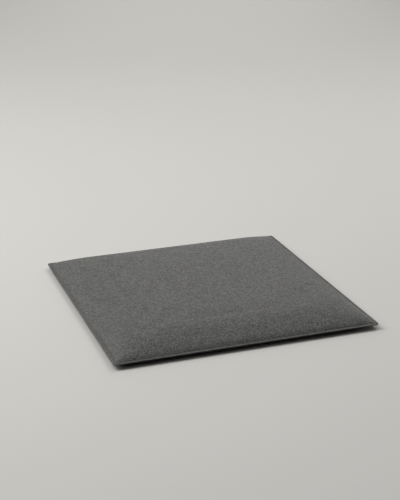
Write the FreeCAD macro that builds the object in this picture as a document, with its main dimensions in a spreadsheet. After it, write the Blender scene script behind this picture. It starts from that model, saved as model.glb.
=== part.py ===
import FreeCAD, Part
import math
import os
import Sketcher

# Square soft back protector pad.
# Frame: origin on the resting surface, under the pad's centre; X across the width, Y along the
# length, +Z out of the grained front face. Millimetres.
#
# Two textile covers meet in a flat flange round the edge and are sewn together just outside the
# foam. The front cover rises from the flange in a parabolic slope to a flat plateau, and the rear
# cover drops in a shallower one to the flat that rests on the body. Between them lie three
# perforated impact layers and one comfort layer, each cut to follow the covers. The flange is
# level with the middle of the rear impact layer.

DIMENSIONS = (
    ("pad_side", 300.0, "outer side of the square flange"),
    ("flange_corner_radius", 3.0, "corner radius of the flange's outline"),
    ("flange_width", 3.5, "flat flange between the edge and the foam pocket"),
    ("front_cover_thickness", 0.6, "grained textile"),
    ("rear_cover_thickness", 0.6, "body-side textile"),
    ("crown_run", 42.0, "width of the curved slope between flange and plateau"),
    ("plateau_corner_radius", 35.0, "corner radius of the plateau's outline"),
    ("pocket_corner_radius", 2.0, "corner radius of the foam pocket at the flange"),
    ("belly_run", 22.0, "width of the curved slope between flange and resting flat"),
    ("belly_corner_radius", 30.0, "corner radius of the resting flat's outline"),
    ("impact_layer_thickness", 6.0, "each of the three impact layers"),
    ("comfort_layer_thickness", 2.0, "soft foam next to the rear cover"),
    ("layer_gap", 0.1, "clearance between stacked layers"),
    ("cover_gap", 0.15, "clearance between the foam and the inside of a cover"),
    ("perforation_diameter", 6.0, "vent holes through the impact layers"),
    ("perforation_pitch", 30.0, "square grid of the vent holes"),
    ("perforation_margin", 12.0, "least distance from a hole's centre to its layer's edge"),
    ("thread_diameter", 0.5, "sewing thread"),
    ("thread_gap", 0.05, "clearance between the thread and the foot of a slope"),
)

# Heights above the resting surface that follow from the stack of layers, from the body outwards.
LEVELS = (
    ("comfort_bottom", "dims.rear_cover_thickness + dims.cover_gap"),
    ("comfort_top", "levels.comfort_bottom + dims.comfort_layer_thickness"),
    ("rear_impact_bottom", "levels.comfort_top + dims.layer_gap"),
    ("rear_impact_top", "levels.rear_impact_bottom + dims.impact_layer_thickness"),
    ("middle_impact_bottom", "levels.rear_impact_top + dims.layer_gap"),
    ("middle_impact_top", "levels.middle_impact_bottom + dims.impact_layer_thickness"),
    ("front_impact_bottom", "levels.middle_impact_top + dims.layer_gap"),
    ("front_impact_top", "levels.front_impact_bottom + dims.impact_layer_thickness"),
    ("crown_top", "levels.front_impact_top + dims.cover_gap + dims.front_cover_thickness"),
    ("seam", "levels.rear_impact_bottom + dims.impact_layer_thickness / 2"),
    ("flange_bottom", "levels.seam - dims.rear_cover_thickness"),
    ("flange_top", "levels.seam + dims.front_cover_thickness"),
    ("pocket_half", "dims.pad_side / 2 - dims.flange_width"),
    ("thread_line", "levels.pocket_half + dims.thread_gap + dims.thread_diameter / 2"),
    ("thread_corner", "dims.pocket_corner_radius + dims.thread_gap + dims.thread_diameter / 2"),
)

FRONT_FOAM_OFFSET = "( dims.front_cover_thickness + dims.cover_gap )"
REAR_FOAM_OFFSET = "( dims.rear_cover_thickness + dims.cover_gap )"
NO_OFFSET = "0"

# How many sections each loft has between the foot and the flat of its slope.
COVER_SECTIONS = 12
LAYER_SECTIONS = 4

doc = FreeCAD.newDocument("back_protector_pad")


def build_sheet():
    sheet = doc.addObject("Spreadsheet::Sheet", "dims")
    for row, (alias, value, meaning) in enumerate(DIMENSIONS, start=1):
        sheet.set(f"A{row}", alias)
        sheet.set(f"B{row}", str(value))
        sheet.set(f"C{row}", meaning)
        sheet.setAlias(f"B{row}", alias)
    doc.recompute()


def build_levels():
    levels = doc.addObject("App::VarSet", "levels")
    for name, expression in LEVELS:
        levels.addProperty("App::PropertyFloat", name)
        levels.setExpression(name, expression)
        doc.recompute()


def slope_shares(count):
    """Shares of a slope's rise, at equal steps of its run from foot to flat."""
    last = count - 1
    return [f"( 1 - ( 1 - {step} / {last} ) ^ 2 )" for step in range(count)]


class Slope:
    """One cover's parabolic slope, or the same slope moved towards the foam by an offset.

    It is steepest at the flange and level where it meets the flat. share runs from 0 at the
    flange to 1 at the flat, as a share of the rise.
    """

    def __init__(self, foot, end, run, end_radius, offset):
        steepness = f"( 2 * abs( {end} - {foot} ) / {run} )"
        self.foot = foot
        self.rise = f"( ( {end} - {foot} ) * ( 1 - {offset} / abs( {end} - {foot} ) ) )"
        self.run = run
        self.end_radius = end_radius
        self.foot_shift = f"( {offset} * sqrt( 1 + 1 / {steepness} ^ 2 ) )"

    def height(self, share):
        return f"{self.foot} + {self.rise} * {share}"

    def half_side(self, share):
        run = f"( {self.run} - {self.foot_shift} )"
        used_run = f"( 1 - sqrt( abs( 1 - {share} ) ) )"
        return f"levels.pocket_half - {self.foot_shift} - {run} * {used_run}"

    def corner(self, share):
        growth = f"( {self.end_radius} - dims.pocket_corner_radius )"
        return f"dims.pocket_corner_radius + {growth} * {share}"

    def share_at(self, level):
        return f"( ( {level} - {self.foot} ) / {self.rise} )"

    def section(self, share):
        return self.height(share), self.half_side(share), self.corner(share)

    def sections(self, shares):
        return [self.section(share) for share in shares]


def front_slope(offset):
    return Slope("levels.flange_top", "levels.crown_top", "dims.crown_run",
                 "dims.plateau_corner_radius", offset)


def rear_slope(offset):
    return Slope("levels.flange_bottom", "0", "dims.belly_run",
                 "dims.belly_corner_radius", offset)


def new_body(label):
    body = doc.addObject("PartDesign::Body", label)
    body.Label = label
    body.Placement = FreeCAD.Placement()
    return body


def origin_feature(body, role):
    return next(feature for feature in body.Origin.OriginFeatures if feature.Role == role)


def new_sketch(body, name, plane_role, offset):
    sketch = body.newObject("Sketcher::SketchObject", name)
    sketch.AttachmentSupport = [(origin_feature(body, plane_role), "")]
    sketch.MapMode = "FlatFace"
    sketch.setExpression("AttachmentOffset.Base.z", offset)
    return sketch


def drive(sketch, name, expression, kind, *geometry):
    """Add a dimension to a sketch and bind it to an expression."""
    value = float(sketch.evalExpression(expression))
    index = sketch.addConstraint(Sketcher.Constraint(kind, *geometry, value))
    sketch.renameConstraint(index, name)
    sketch.setExpression(f"Constraints.{name}", expression)


def rounded_square(body, name, height, half_side, corner):
    """A sketch of a square centred on the Z axis, with rounded corners."""
    sketch = new_sketch(body, name, "XY_Plane", height)
    half = float(sketch.evalExpression(half_side))
    radius = float(sketch.evalExpression(corner))
    z_axis = FreeCAD.Vector(0, 0, 1)
    for turn in range(4):
        spin = FreeCAD.Rotation(z_axis, 90.0 * turn)
        start = spin.multVec(FreeCAD.Vector(radius - half, -half, 0))
        end = spin.multVec(FreeCAD.Vector(half - radius, -half, 0))
        sketch.addGeometry(Part.LineSegment(start, end))
    for turn in range(4):
        centre = FreeCAD.Rotation(z_axis, 90.0 * turn).multVec(
            FreeCAD.Vector(half - radius, radius - half, 0))
        circle = Part.Circle(centre, z_axis, radius)
        start_angle = math.pi / 2 * (turn - 1)
        sketch.addGeometry(Part.ArcOfCircle(circle, start_angle, start_angle + math.pi / 2))
    for turn in range(4):
        corner_arc = 4 + turn
        next_side = (turn + 1) % 4
        sketch.addConstraint(Sketcher.Constraint("Tangent", turn, 2, corner_arc, 1))
        sketch.addConstraint(Sketcher.Constraint("Tangent", corner_arc, 2, next_side, 1))
        sketch.addConstraint(Sketcher.Constraint("Vertical" if turn % 2 else "Horizontal", turn))
    for corner_arc in (5, 6, 7):
        sketch.addConstraint(Sketcher.Constraint("Equal", 4, corner_arc))
    drive(sketch, "corner", corner, "Radius", 4)
    drive(sketch, "front_reach", half_side, "DistanceY", 0, 1, -1, 1)
    drive(sketch, "right_reach", half_side, "DistanceX", -1, 1, 1, 1)
    drive(sketch, "back_reach", half_side, "DistanceY", -1, 1, 2, 1)
    drive(sketch, "left_reach", half_side, "DistanceX", 3, 1, -1, 1)
    return sketch


def loft(body, kind, name, sections):
    """Add or subtract a loft through rounded squares, each a height, half side and corner."""
    sketches = [rounded_square(body, f"{name}_{index}", *section)
                for index, section in enumerate(sections)]
    feature = body.newObject(f"PartDesign::{kind}Loft", name)
    feature.Profile = sketches[0]
    feature.Sections = sketches[1:]
    feature.Ruled = True
    return feature


def build_cover(label, slope, thickness, outer_face, upwards):
    """A cover: its flange, and a shell of even thickness that follows the slope to its flat."""
    body = new_body(label)
    outline = rounded_square(body, f"{label}_outline", outer_face, "dims.pad_side / 2",
                             "dims.flange_corner_radius")
    flange = body.newObject("PartDesign::Pad", f"{label}_flange")
    flange.Profile = outline
    flange.Reversed = upwards
    flange.setExpression("Length", thickness)
    shares = slope_shares(COVER_SECTIONS)
    loft(body, "Additive", f"{label}_shell", slope(NO_OFFSET).sections(shares))
    inside = loft(body, "Subtractive", f"{label}_inside", slope(thickness).sections(shares))
    window = body.newObject("PartDesign::Pocket", f"{label}_window")
    window.Profile = inside.Profile
    window.Reversed = not upwards
    window.setExpression("Length", thickness)
    return body


def build_front_cover():
    return build_cover("front_cover", front_slope, "dims.front_cover_thickness",
                       "levels.flange_top", True)


def build_rear_cover():
    return build_cover("rear_cover", rear_slope, "dims.rear_cover_thickness",
                       "levels.flange_bottom", False)


def slope_between(slope, bottom, top):
    """Sections of a foam edge that follows a slope, from its bottom level to its top level."""
    levels = [f"( {bottom} + ( {top} - {bottom} ) * {share} )"
              for share in slope_shares(LAYER_SECTIONS)]
    return [slope.section(slope.share_at(level)) for level in levels]


def perforate(body, label, last_section, offset_rows):
    """Vent holes on a square grid; offset rows start half a pitch off the centre."""
    _, half_side, _ = last_section
    reach = f"( {half_side} - dims.perforation_margin ) / dims.perforation_pitch"
    if offset_rows:
        count = f"2 * floor( {reach} + 0.5 )"
    else:
        count = f"2 * floor( {reach} ) + 1"
    first = f"( {count} - 1 ) * dims.perforation_pitch / 2"
    sketch = new_sketch(body, f"{label}_hole", "XY_Plane", "0")
    start = -float(sketch.evalExpression(first))
    radius = float(sketch.evalExpression("dims.perforation_diameter / 2"))
    sketch.addGeometry(Part.Circle(FreeCAD.Vector(start, start, 0), FreeCAD.Vector(0, 0, 1), radius))
    drive(sketch, "hole_radius", "dims.perforation_diameter / 2", "Radius", 0)
    drive(sketch, "first_column", first, "DistanceX", 0, 3, -1, 1)
    drive(sketch, "first_row", first, "DistanceY", 0, 3, -1, 1)
    hole = body.newObject("PartDesign::Pocket", f"{label}_first_hole")
    hole.Profile = sketch
    hole.Type = "ThroughAll"
    hole.Reversed = True
    doc.recompute()
    grid = body.newObject("PartDesign::LinearPattern", f"{label}_holes")
    grid.Originals = [hole]
    grid.Direction = (origin_feature(body, "X_Axis"), [""])
    grid.Direction2 = (origin_feature(body, "Y_Axis"), [""])
    grid.Mode = "Spacing"
    grid.Mode2 = "Spacing"
    for suffix in ("", "2"):
        grid.setExpression(f"Offset{suffix}", "dims.perforation_pitch")
        grid.setExpression(f"Occurrences{suffix}", count)
    body.Tip = grid


def build_layer(label, sections, offset_rows=None):
    """A foam layer, perforated where offset_rows says how its holes lie."""
    body = new_body(label)
    loft(body, "Additive", f"{label}_foam", sections)
    if offset_rows is not None:
        perforate(body, label, sections[-1], offset_rows)
    return body


def build_comfort_layer():
    slope = rear_slope(REAR_FOAM_OFFSET)
    sections = slope_between(slope, "levels.comfort_top", "levels.comfort_bottom")
    return build_layer("comfort_layer", sections)


def build_rear_impact_layer():
    below = rear_slope(REAR_FOAM_OFFSET)
    above = front_slope(FRONT_FOAM_OFFSET)
    sections = [
        below.section(below.share_at("levels.rear_impact_bottom")),
        below.section("0"),
        above.section("0"),
        above.section(above.share_at("levels.rear_impact_top")),
    ]
    return build_layer("rear_impact_layer", sections, False)


def build_middle_impact_layer():
    sections = slope_between(front_slope(FRONT_FOAM_OFFSET), "levels.middle_impact_bottom",
                             "levels.middle_impact_top")
    return build_layer("middle_impact_layer", sections, True)


def build_front_impact_layer():
    sections = slope_between(front_slope(FRONT_FOAM_OFFSET), "levels.front_impact_bottom",
                             "levels.front_impact_top")
    return build_layer("front_impact_layer", sections, False)


def build_thread(label, centre_height):
    """One thread of the lockstitch, as the closed loop that it makes on its side of the flange."""
    body = new_body(label)
    route = rounded_square(body, f"{label}_route", centre_height, "levels.thread_line",
                           "levels.thread_corner")
    section = new_sketch(body, f"{label}_section", "YZ_Plane",
                         "levels.thread_corner - levels.thread_line")
    centre = FreeCAD.Vector(-float(section.evalExpression("levels.thread_line")),
                            float(section.evalExpression(centre_height)), 0)
    radius = float(section.evalExpression("dims.thread_diameter / 2"))
    section.addGeometry(Part.Circle(centre, FreeCAD.Vector(0, 0, 1), radius))
    drive(section, "thread_radius", "dims.thread_diameter / 2", "Radius", 0)
    drive(section, "line", "levels.thread_line", "DistanceX", 0, 3, -1, 1)
    drive(section, "height", centre_height, "DistanceY", -1, 1, 0, 3)
    pipe = body.newObject("PartDesign::AdditivePipe", f"{label}_loop")
    pipe.Profile = section
    pipe.Spine = (route, [f"Edge{edge}" for edge in range(1, 9)])
    return body


def build_needle_thread():
    return build_thread("needle_thread", "levels.flange_top + dims.thread_diameter / 2")


def build_bobbin_thread():
    return build_thread("bobbin_thread", "levels.flange_bottom - dims.thread_diameter / 2")


def check_document(nodes):
    for item in doc.Objects:
        if "Invalid" in item.State or "Error" in item.State:
            raise RuntimeError(f"{item.Label} failed: {item.State}")
    for node in nodes:
        if node.Shape.isNull() or not node.Shape.isValid() or not node.Shape.Solids:
            raise RuntimeError(f"{node.Label} has no valid solid")


def main():
    build_sheet()
    build_levels()
    nodes = [
        build_front_cover(),
        build_front_impact_layer(),
        build_middle_impact_layer(),
        build_rear_impact_layer(),
        build_comfort_layer(),
        build_rear_cover(),
        build_needle_thread(),
        build_bobbin_thread(),
    ]
    doc.recompute()
    check_document(nodes)
    os.makedirs("parts", exist_ok=True)
    for node in nodes:
        node.Shape.exportStep(f"parts/{node.Label}.step")
        box = node.Shape.BoundBox
        print(f"{node.Label}: {len(node.Shape.Solids)} solid, {node.Shape.Volume / 1000:.2f} cm3, "
              f"{box.XLength:.2f} x {box.YLength:.2f} x {box.ZLength:.2f}, from z {box.ZMin:.2f}")


main()
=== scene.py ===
import math

import bmesh
import bpy
import numpy as np
from mathutils import Matrix, Vector


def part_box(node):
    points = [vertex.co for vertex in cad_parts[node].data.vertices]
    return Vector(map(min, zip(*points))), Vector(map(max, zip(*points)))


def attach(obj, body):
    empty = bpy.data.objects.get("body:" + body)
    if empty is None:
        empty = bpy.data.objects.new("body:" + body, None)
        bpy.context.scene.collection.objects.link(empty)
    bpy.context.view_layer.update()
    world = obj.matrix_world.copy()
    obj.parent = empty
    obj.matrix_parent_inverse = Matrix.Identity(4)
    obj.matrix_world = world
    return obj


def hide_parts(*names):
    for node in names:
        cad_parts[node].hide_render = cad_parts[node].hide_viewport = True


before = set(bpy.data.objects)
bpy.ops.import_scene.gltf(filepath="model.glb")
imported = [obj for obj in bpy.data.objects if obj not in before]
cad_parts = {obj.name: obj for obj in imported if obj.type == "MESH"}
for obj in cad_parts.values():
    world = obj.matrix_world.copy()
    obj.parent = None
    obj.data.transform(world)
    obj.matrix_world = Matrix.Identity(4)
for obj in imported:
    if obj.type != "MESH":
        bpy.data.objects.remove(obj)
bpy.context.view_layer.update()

MM = 0.001

# Levels and outlines, read from the frame.
HALF_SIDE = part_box("front_cover")[1].x
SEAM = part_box("front_cover")[0].z
CROWN_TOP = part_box("front_cover")[1].z
FLANGE_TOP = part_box("needle_thread")[0].z
FLANGE_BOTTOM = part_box("bobbin_thread")[1].z
THREAD_RADIUS = (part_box("needle_thread")[1].z - FLANGE_TOP) / 2
THREAD_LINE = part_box("needle_thread")[1].x - THREAD_RADIUS

# Shape of the covers between those levels: a flat flange, a parabolic slope and a flat middle.
FLANGE_WIDTH = 3.5 * MM
FLANGE_CORNER = 3 * MM
POCKET_CORNER = 2 * MM
CROWN_RUN = 42 * MM
PLATEAU_CORNER = 35 * MM
BELLY_RUN = 22 * MM
BELLY_CORNER = 30 * MM

# The edge of the foam pushes each cover out a little, just inside the seam. Both values are
# guessed, from the dark line along the front flange in the photo.
EDGE_BULGE = 0.7 * MM
EDGE_REACH = 3 * MM

# Mesh lines of a cover, counted from its edge to its middle. Those of a slope crowd together
# towards the seam, by a power.
FLANGE_LINES = 5
SLOPE_LINES = 14
SLOPE_CROWDING = 1.5
PLATEAU_STEP = 4 * MM

# Cloth simulation of the front cover: how hard the filling pushes, and the most it may lift.
CLOTH_FRAMES = 20
CLOTH_PRESSURE = 0.6
CLOTH_MOST_LIFT = 3 * MM

# Lockstitch: its length, how deep it dips at a hole, and the mesh of its three-ply thread.
STITCH_PITCH = 3.2 * MM
STITCH_DIP = 0.5 * MM
THREAD_STEP = 0.3 * MM
THREAD_SIDES = 9
THREAD_CORE = 0.88
THREAD_TURNS_PER_STITCH = 1.5
PLIES = 3
PLY_DEPTH = 0.14

# Camera, fitted to where the pad's corners are in the photo.
CAMERA_AZIMUTH = math.radians(-19.73)
CAMERA_ELEVATION = math.radians(20.65)
CAMERA_DISTANCE = 1.497
CAMERA_AIM = Vector((0.0421, 0.1284, FLANGE_TOP + 0.9 * MM))
LENS = 85.0

# The floor lies this far under the pad, so that their faces don't coincide.
FLOOR_GAP = 0.1 * MM

# Softboxes, all aimed at the pad: name, degrees to the right of straight behind it as the camera
# sees it, degrees up, watts. A scratch program fitted the watts to the photo's brightness, and so
# picked these places out of a grid of round ones. The watts are rounded.
SOFTBOX_SIDE = 1.0
SOFTBOX_DISTANCE = 1.8
SOFTBOXES = (
    ("left_box", -90, 38, 9.3),
    ("top_left_box", -90, 60, 14.4),
    ("back_left_box", -45, 20, 4.2),
    ("back_box", 0, 20, 3.0),
    ("back_right_box", 45, 20, 3.9),
    ("top_right_box", 45, 60, 10.8),
    ("front_box", 180, 60, 2.7),
)


class Shader:
    """A node material while it is being put together."""

    def __init__(self, name, **surface):
        self.material = bpy.data.materials.new(name)
        self.material.use_nodes = True
        self.tree = self.material.node_tree
        self.tree.nodes.clear()
        self.surface = self.node("ShaderNodeBsdfPrincipled", surface)
        self.node("ShaderNodeOutputMaterial", {"Surface": self.surface.outputs[0]})
        self.place = self.node("ShaderNodeTexCoord").outputs["Object"]

    def node(self, kind, inputs=None, **settings):
        made = self.tree.nodes.new(kind)
        for name, value in settings.items():
            setattr(made, name, value)
        for name, value in (inputs or {}).items():
            self.feed(made, name, value)
        return made

    def feed(self, node, name, value):
        if isinstance(value, bpy.types.NodeSocket):
            self.tree.links.new(value, node.inputs[name])
        else:
            node.inputs[name].default_value = value

    def math(self, operation, *values):
        made = self.node("ShaderNodeMath", operation=operation)
        for index, value in enumerate(values):
            self.feed(made, index, value)
        return made.outputs[0]

    def noise(self, size, detail=2.0, place=None):
        inputs = {"Vector": place or self.place, "Scale": 1 / size, "Detail": detail}
        return self.node("ShaderNodeTexNoise", inputs).outputs["Fac"]

    def cells(self, size, feature="F1", place=None, **inputs):
        values = {"Vector": place or self.place, "Scale": 1 / size, **inputs}
        return self.node("ShaderNodeTexVoronoi", values, feature=feature).outputs

    def ramp(self, value, low, high, to_low=0.0, to_high=1.0):
        """value, mapped smoothly from low..high to to_low..to_high."""
        inputs = {"Value": value, "From Min": low, "From Max": high,
                  "To Min": to_low, "To Max": to_high}
        made = self.node("ShaderNodeMapRange", inputs, interpolation_type="SMOOTHSTEP")
        return made.outputs["Result"]

    def warped(self, amount, size):
        """The object's own coordinates, pushed about by noise, so that cells aren't too even."""
        noise = self.node("ShaderNodeTexNoise", {"Vector": self.place, "Scale": 1 / size})
        centred = self.node("ShaderNodeVectorMath", {0: noise.outputs["Color"], 1: (0.5,) * 3},
                            operation="SUBTRACT")
        push = self.node("ShaderNodeVectorMath", {0: centred.outputs[0], "Scale": amount},
                         operation="SCALE")
        return self.node("ShaderNodeVectorMath", {0: self.place, 1: push.outputs[0]},
                         operation="ADD").outputs[0]

    def tint(self, value, dark, light):
        """A colour from dark to light, as value goes from 0 to 1."""
        mix = self.node("ShaderNodeMix", data_type="RGBA", clamp_factor=True)
        self.feed(mix, "Factor", value)
        mix.inputs[6].default_value = (*dark, 1.0)
        mix.inputs[7].default_value = (*light, 1.0)
        return mix.outputs[2]

    def finish(self, colour, roughness, height=None, relief=0.0):
        """The material, with its colour, roughness and, if it has a height, a bump that deep."""
        self.feed(self.surface, "Base Color", colour)
        self.feed(self.surface, "Roughness", roughness)
        if height is not None:
            bump = self.node("ShaderNodeBump", {"Height": height, "Distance": relief})
            self.feed(self.surface, "Normal", bump.outputs["Normal"])
        return self.material


def grained_textile():
    """Dark grey textile embossed with an uneven pebble grain."""
    shader = Shader("grained_textile", **{"Sheen Weight": 0.05, "Sheen Roughness": 0.45,
                                          "Specular IOR Level": 0.5})
    pebble_size = 1.9 * MM
    place = shader.warped(1.2 * MM, 2.2 * MM)
    pebble = shader.cells(pebble_size, place=place)
    gap = shader.cells(pebble_size, "DISTANCE_TO_EDGE", place=place)["Distance"]
    fibre = shader.noise(0.4 * MM, 3.0)
    dome_and_hollow_shade = shader.ramp(gap, 0.0, 0.30)
    shade = shader.node("ShaderNodeSeparateColor", {"Color": pebble["Color"]}).outputs["Red"]
    cloud = shader.noise(60 * MM, 2.0)
    # Colour: darker in the hollows between the pebbles, which is painted shade on top of the bump,
    # plus a random tone per pebble, fibre noise and a faint cloud.
    tone = shader.math("ADD", shader.math("MULTIPLY", dome_and_hollow_shade, 0.70),
                       shader.math("MULTIPLY", shade, 0.26))
    tone = shader.math("ADD", tone, shader.math("MULTIPLY", fibre, 0.16))
    tone = shader.math("ADD", tone, shader.math("MULTIPLY", cloud, 0.04))
    colour = shader.tint(tone, (0.010, 0.010, 0.009), (0.143, 0.143, 0.133))
    height = shader.math("ADD", dome_and_hollow_shade, shader.math("MULTIPLY", fibre, 0.30))
    height = shader.math("ADD", height, shader.math("MULTIPLY", shade, 0.45))
    roughness = shader.ramp(shade, 0.0, 1.0, 0.62, 0.46)
    return shader.finish(colour, roughness, height, 0.20 * MM)


def knit_textile():
    """Black spacer knit: columns of V-shaped loops."""
    shader = Shader("knit_textile", **{"Sheen Weight": 0.2, "Sheen Roughness": 0.5,
                                       "Specular IOR Level": 0.3})
    axes = shader.node("ShaderNodeSeparateXYZ", {"Vector": shader.place}).outputs
    half_column, half_row, slant = 1.0 * MM, 0.75 * MM, 0.9 * MM
    column = shader.math("PINGPONG", axes["X"], half_column)
    column = shader.math("DIVIDE", column, half_column)
    slanted = shader.math("ADD", axes["Y"], shader.math("MULTIPLY", column, slant))
    row = shader.math("DIVIDE", shader.math("PINGPONG", slanted, half_row), half_row)
    loop = shader.math("MULTIPLY", shader.ramp(row, 0.0, 0.75), shader.ramp(column, 0.02, 0.4))
    fibre = shader.noise(0.2 * MM, 3.0)
    cloud = shader.noise(60 * MM, 2.0)
    tone = shader.math("ADD", shader.math("MULTIPLY", loop, 0.6),
                       shader.math("MULTIPLY", fibre, 0.3))
    tone = shader.math("ADD", tone, shader.math("MULTIPLY", cloud, 0.2))
    colour = shader.tint(tone, (0.012, 0.012, 0.013), (0.085, 0.085, 0.088))
    height = shader.math("ADD", loop, shader.math("MULTIPLY", fibre, 0.25))
    return shader.finish(colour, shader.ramp(loop, 0.0, 1.0, 0.95, 0.75), height, 0.25 * MM)


def foam(name, pore, dark, light, relief):
    """Cellular foam: pores of one size, a little uneven, with a matt skin between them."""
    shader = Shader(name, **{"Specular IOR Level": 0.25})
    pores = shader.cells(pore, "SMOOTH_F1", Smoothness=0.4)["Distance"]
    speck = shader.noise(pore / 3, 2.0)
    cloud = shader.noise(30 * MM, 3.0)
    wall_and_pore_shade = shader.ramp(pores, 0.12, 0.6)
    # Colour: the pores are darker than the skin between them, which is painted shade in the pores,
    # plus specks and a cloud.
    tone = shader.math("ADD", shader.math("MULTIPLY", wall_and_pore_shade, 0.6),
                       shader.math("MULTIPLY", speck, 0.25))
    tone = shader.math("ADD", tone, shader.math("MULTIPLY", cloud, 0.25))
    height = shader.math("ADD", wall_and_pore_shade, shader.math("MULTIPLY", speck, 0.3))
    return shader.finish(shader.tint(tone, dark, light), shader.ramp(wall_and_pore_shade, 0.0, 1.0, 0.95, 0.8),
                         height, relief)


def sewing_thread():
    """Twisted polyester with a soft shine on its plies."""
    shader = Shader("sewing_thread", **{"Sheen Weight": 0.3, "Sheen Roughness": 0.4,
                                        "Specular IOR Level": 0.4})
    fibre = shader.noise(0.12 * MM, 3.0)
    cloud = shader.noise(14 * MM, 2.0)
    tone = shader.math("ADD", shader.math("MULTIPLY", fibre, 0.8),
                       shader.math("MULTIPLY", cloud, 0.3))
    colour = shader.tint(tone, (0.030, 0.030, 0.028), (0.110, 0.110, 0.104))
    return shader.finish(colour, shader.ramp(fibre, 0.3, 0.7, 0.75, 0.5), fibre, 0.04 * MM)


def studio_paper():
    """The pale matt floor and backdrop."""
    shader = Shader("studio_paper", **{"Specular IOR Level": 0.2})
    cloud = shader.noise(0.6, 2.0)
    colour = shader.tint(cloud, (0.600, 0.588, 0.560), (0.620, 0.608, 0.580))
    return shader.finish(colour, 0.9)


def cover_rings(run, rise, flat_corner):
    """Depth from the edge, height over the flange, and corner radius of each ring of a cover."""
    rings = []
    for depth in np.linspace(0, FLANGE_WIDTH, FLANGE_LINES, endpoint=False):
        share = depth / FLANGE_WIDTH
        rings.append((depth, 0.0, FLANGE_CORNER + (POCKET_CORNER - FLANGE_CORNER) * share))
    for used_run in np.linspace(0, 1, SLOPE_LINES) ** SLOPE_CROWDING:
        share = 1 - (1 - used_run) ** 2
        corner = POCKET_CORNER + (flat_corner - POCKET_CORNER) * share
        past = run * used_run / EDGE_REACH
        bulge = EDGE_BULGE * past * math.exp(1 - past) * (1 - used_run)
        rings.append((FLANGE_WIDTH + run * used_run, rise * share + bulge, corner))
    last = FLANGE_WIDTH + run
    steps = round((HALF_SIDE - last) / PLATEAU_STEP)
    for depth in np.linspace(last, HALF_SIDE, steps + 1)[1:]:
        corner = flat_corner * (HALF_SIDE - depth) / (HALF_SIDE - last)
        rings.append((depth, rise, corner))
    return rings


def on_ring(across, along, corner):
    """Moves a point of a square ring, whose reach is its larger coordinate, to the rounded ring."""
    reach = max(abs(across), abs(along))
    side = min(abs(across), abs(along))
    start = reach - corner
    if side <= start or corner <= 0:
        return across, along
    turn = (side - start) / corner * math.pi / 4
    major, minor = start + corner * math.cos(turn), start + corner * math.sin(turn)
    x, y = (major, minor) if abs(across) >= abs(along) else (minor, major)
    return math.copysign(x, across), math.copysign(y, along)


def cover_mesh(name, rings, level, facing):
    """A cover's outer surface: a grid of quads whose lines follow the rings. facing is 1 or -1."""
    count = 2 * len(rings) - 1
    index = [min(i, count - 1 - i) for i in range(count)]
    reach = [(HALF_SIDE - rings[index[i]][0]) * (1 if i >= len(rings) else -1)
             for i in range(count)]
    bm = bmesh.new()
    points = []
    for j in range(count):
        for i in range(count):
            _, height, corner = rings[min(index[i], index[j])]
            x, y = on_ring(reach[i], reach[j], corner)
            points.append(bm.verts.new((x, y, level + facing * height)))
    for j in range(count - 1):
        for i in range(count - 1):
            a = j * count + i
            face = [points[a], points[a + 1], points[a + 1 + count], points[a + count]]
            bm.faces.new(face if facing > 0 else face[::-1])
    mesh = bpy.data.meshes.new(name)
    bm.to_mesh(mesh)
    bm.free()
    piece = bpy.data.objects.new(name, mesh)
    bpy.context.scene.collection.objects.link(piece)
    depth = np.array([rings[min(index[i], index[j])][0] for j in range(count)
                      for i in range(count)])
    return piece, depth


def coordinates(mesh):
    flat = np.empty(len(mesh.vertices) * 3)
    mesh.vertices.foreach_get("co", flat)
    return flat.reshape(-1, 3)


def puff(piece, depth, pressure, most):
    """Cloth simulation of a cover that the air in its filling holds out.

    The flange is pinned. The foam under the cover stops it from sinking, so it can only lift
    off its cut shape, and by no more than most.
    """
    cut = coordinates(piece.data)
    pins = piece.vertex_groups.new(name="pins")
    pins.add([int(i) for i in np.flatnonzero(depth < FLANGE_WIDTH + 0.1 * MM)], 1.0, "REPLACE")
    cloth = piece.modifiers.new("cloth", "CLOTH")
    cloth.settings.vertex_group_mass = "pins"
    cloth.settings.quality = 5
    cloth.settings.mass = 0.3
    cloth.settings.tension_stiffness = 40
    cloth.settings.compression_stiffness = 40
    cloth.settings.shear_stiffness = 20
    cloth.settings.bending_stiffness = 2
    cloth.settings.use_pressure = True
    cloth.settings.uniform_pressure_force = pressure
    cloth.settings.effector_weights.gravity = 0
    cloth.collision_settings.use_collision = False
    cloth.point_cache.frame_start = 1
    cloth.point_cache.frame_end = CLOTH_FRAMES
    scene = bpy.context.scene
    for number in range(1, CLOTH_FRAMES + 1):
        scene.frame_set(number)
    view = bpy.context.evaluated_depsgraph_get()
    full = coordinates(piece.evaluated_get(view).data)
    piece.modifiers.remove(cloth)
    scene.frame_set(1)
    lift = np.maximum(full[:, 2] - cut[:, 2], 0)
    cut[:, 2] += most * np.tanh(lift / most)
    piece.data.vertices.foreach_set("co", cut.ravel())
    piece.data.update()


def cloth_layer(piece, thickness):
    """Gives a cover its smooth surface, its thickness and a soft cut edge."""
    smooth = piece.modifiers.new("smooth", "SUBSURF")
    smooth.levels = 1
    smooth.render_levels = 1
    layer = piece.modifiers.new("layer", "SOLIDIFY")
    layer.thickness = thickness
    layer.offset = -1
    edge = piece.modifiers.new("edge", "BEVEL")
    edge.width = 0.15 * MM
    edge.segments = 2
    edge.limit_method = "ANGLE"
    edge.angle_limit = math.radians(60)
    piece.data.shade_smooth()


def dress(piece, material, slot, *nodes):
    """Gives a piece its material and its place in the frame."""
    piece.data.materials.clear()
    piece.data.materials.append(material)
    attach(piece, "root")
    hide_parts(*nodes)


def build_front_cover(material):
    rings = cover_rings(CROWN_RUN, CROWN_TOP - FLANGE_TOP, PLATEAU_CORNER)
    piece, depth = cover_mesh("front_cover_textile", rings, FLANGE_TOP, 1)
    puff(piece, depth, CLOTH_PRESSURE, CLOTH_MOST_LIFT)
    cloth_layer(piece, FLANGE_TOP - SEAM)
    dress(piece, material, "front_textile", "front_cover")
    return piece


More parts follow.
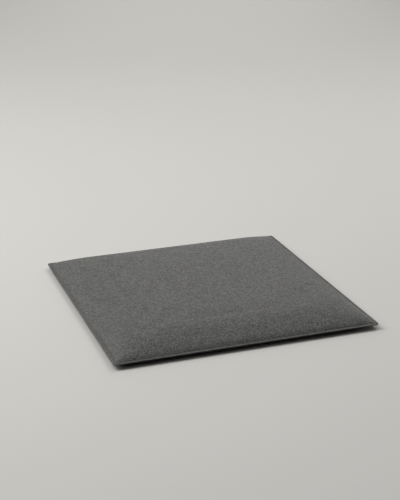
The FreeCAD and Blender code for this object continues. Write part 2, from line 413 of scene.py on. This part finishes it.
def build_rear_cover(material):
    rings = cover_rings(BELLY_RUN, FLANGE_BOTTOM, BELLY_CORNER)
    piece, depth = cover_mesh("rear_cover_textile", rings, FLANGE_BOTTOM, -1)
    cloth_layer(piece, SEAM - FLANGE_BOTTOM)
    dress(piece, material, "rear_textile", "rear_cover")
    return piece


def build_foam(node, name, material, slot):
    """A foam layer with softened edges round its outline and its holes."""
    piece = bpy.data.objects.new(name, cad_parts[node].data.copy())
    bpy.context.scene.collection.objects.link(piece)
    edge = piece.modifiers.new("edge", "BEVEL")
    edge.width = 0.3 * MM
    edge.segments = 2
    edge.limit_method = "ANGLE"
    edge.angle_limit = math.radians(50)
    dress(piece, material, slot, node)
    return piece


def seam_route(line, corner, step):
    """Points and outward directions of the seam, evenly spaced, anticlockwise from the front."""
    straight = 2 * (line - corner)
    arc = corner * math.pi / 2
    total = 4 * (straight + arc)
    count = round(total / step)
    route = []
    for number in range(count):
        side, along = divmod(number * total / count, straight + arc)
        turn = Matrix.Rotation(side * math.pi / 2, 3, "Z")
        if along <= straight:
            point = Vector((along - straight / 2, -line, 0))
            out = Vector((0, -1, 0))
        else:
            angle = (along - straight) / corner
            out = Vector((math.sin(angle), -math.cos(angle), 0))
            point = Vector((straight / 2, corner - line, 0)) + out * corner
        route.append((turn @ point, turn @ out, number * total / count))
    return route, total


def build_stitches(name, node, surface, facing, material):
    """A lockstitch thread: one closed cord that arches over each stitch and dips into each hole."""
    corner = POCKET_CORNER + THREAD_LINE - (HALF_SIDE - FLANGE_WIDTH)
    route, total = seam_route(THREAD_LINE, corner, THREAD_STEP)
    stitches = round(total / STITCH_PITCH)
    bm = bmesh.new()
    loops = []
    for point, out, along in route:
        phase = along / total * stitches
        over = abs(math.sin(math.pi * phase)) ** 0.4
        height = surface + facing * (THREAD_RADIUS * 1.1 * over - STITCH_DIP * (1 - over))
        centre = Vector((point.x, point.y, height))
        twist = 2 * math.pi * phase * THREAD_TURNS_PER_STITCH
        loop = []
        for side in range(THREAD_SIDES):
            angle = 2 * math.pi * side / THREAD_SIDES
            ply = 1 + PLY_DEPTH * math.cos(PLIES * (angle - twist))
            reach = THREAD_RADIUS * THREAD_CORE * ply
            offset = out * math.cos(angle) + Vector((0, 0, 1)) * math.sin(angle)
            loop.append(bm.verts.new(centre + offset * reach))
        loops.append(loop)
    for ring, loop in enumerate(loops):
        following = loops[(ring + 1) % len(loops)]
        for side in range(THREAD_SIDES):
            after = (side + 1) % THREAD_SIDES
            bm.faces.new((loop[side], loop[after], following[after], following[side]))
    bmesh.ops.recalc_face_normals(bm, faces=bm.faces)
    mesh = bpy.data.meshes.new(name)
    bm.to_mesh(mesh)
    bm.free()
    mesh.shade_smooth()
    piece = bpy.data.objects.new(name, mesh)
    bpy.context.scene.collection.objects.link(piece)
    dress(piece, material, "thread", node)
    return piece


def build_stage(material):
    """A pale floor that runs up into a backdrop behind the object, square to the camera."""
    near, far, bend, height, width = -4.0, 1.2, 1.2, 3.0, 8.0
    steps = 24
    profile = [(near, 0.0), (far, 0.0)]
    for step in range(1, steps + 1):
        angle = math.pi / 2 * step / steps
        profile.append((far + bend * math.sin(angle), bend * (1 - math.cos(angle))))
    profile.append((far + bend, height))
    bm = bmesh.new()
    left = [bm.verts.new((-width / 2, y, z)) for y, z in profile]
    right = [bm.verts.new((width / 2, y, z)) for y, z in profile]
    for i in range(len(profile) - 1):
        bm.faces.new((left[i], right[i], right[i + 1], left[i + 1]))
    mesh = bpy.data.meshes.new("studio_floor")
    bm.to_mesh(mesh)
    bm.free()
    mesh.shade_smooth()
    floor = bpy.data.objects.new("studio_floor", mesh)
    floor.rotation_euler.z = CAMERA_AZIMUTH
    floor.location.z = -FLOOR_GAP
    bpy.context.scene.collection.objects.link(floor)
    floor.data.materials.append(material)


def add_softbox(name, place, power):
    """A square light that shines from its place towards the origin."""
    light = bpy.data.lights.new(name, "AREA")
    light.shape = "RECTANGLE"
    light.size = light.size_y = SOFTBOX_SIDE
    light.energy = power
    lamp = bpy.data.objects.new(name, light)
    lamp.location = place
    lamp.rotation_mode = "QUATERNION"
    lamp.rotation_quaternion = place.to_track_quat("Z", "Y")
    bpy.context.scene.collection.objects.link(lamp)


def light_stage():
    world = bpy.data.worlds.new("studio")
    bpy.context.scene.world = world
    world.use_nodes = True
    background = world.node_tree.nodes["Background"]
    background.inputs["Color"].default_value = (1.0, 0.985, 0.955, 1)
    background.inputs["Strength"].default_value = 0.02
    for name, azimuth, elevation, power in SOFTBOXES:
        around, up = math.radians(azimuth) - CAMERA_AZIMUTH, math.radians(elevation)
        towards = Vector((math.sin(around) * math.cos(up), math.cos(around) * math.cos(up),
                          math.sin(up)))
        add_softbox(name, towards * SOFTBOX_DISTANCE, power)


def add_camera():
    camera = bpy.data.objects.new("camera", bpy.data.cameras.new("camera"))
    camera.data.lens = LENS
    camera.data.clip_end = 50
    level = math.cos(CAMERA_ELEVATION)
    back = Vector((math.sin(CAMERA_AZIMUTH) * level, -math.cos(CAMERA_AZIMUTH) * level,
                   math.sin(CAMERA_ELEVATION)))
    camera.location = CAMERA_AIM + back * CAMERA_DISTANCE
    camera.rotation_mode = "QUATERNION"
    camera.rotation_quaternion = back.to_track_quat("Z", "Y")
    bpy.context.scene.collection.objects.link(camera)
    bpy.context.scene.camera = camera


def main():
    grained = grained_textile()
    impact = foam("impact_foam", 0.7 * MM, (0.020, 0.020, 0.023), (0.085, 0.085, 0.092), 0.10 * MM)
    comfort = foam("comfort_foam", 1.0 * MM, (0.10, 0.10, 0.105), (0.36, 0.36, 0.37), 0.25 * MM)
    thread = sewing_thread()
    layers = [
        build_foam("front_impact_layer", "front_impact_foam", impact, "impact_foam"),
        build_foam("middle_impact_layer", "middle_impact_foam", impact, "impact_foam"),
        build_foam("rear_impact_layer", "rear_impact_foam", impact, "impact_foam"),
        build_foam("comfort_layer", "comfort_layer_foam", comfort, "comfort_foam"),
    ]
    front = build_front_cover(grained)
    rear = build_rear_cover(knit_textile())
    needle = build_stitches("needle_stitches", "needle_thread", FLANGE_TOP, 1, thread)
    bobbin = build_stitches("bobbin_stitches", "bobbin_thread", FLANGE_BOTTOM, -1, thread)
    bpy.context.scene.view_settings.view_transform = "Standard"
    build_stage(studio_paper())
    light_stage()
    add_camera()


main()
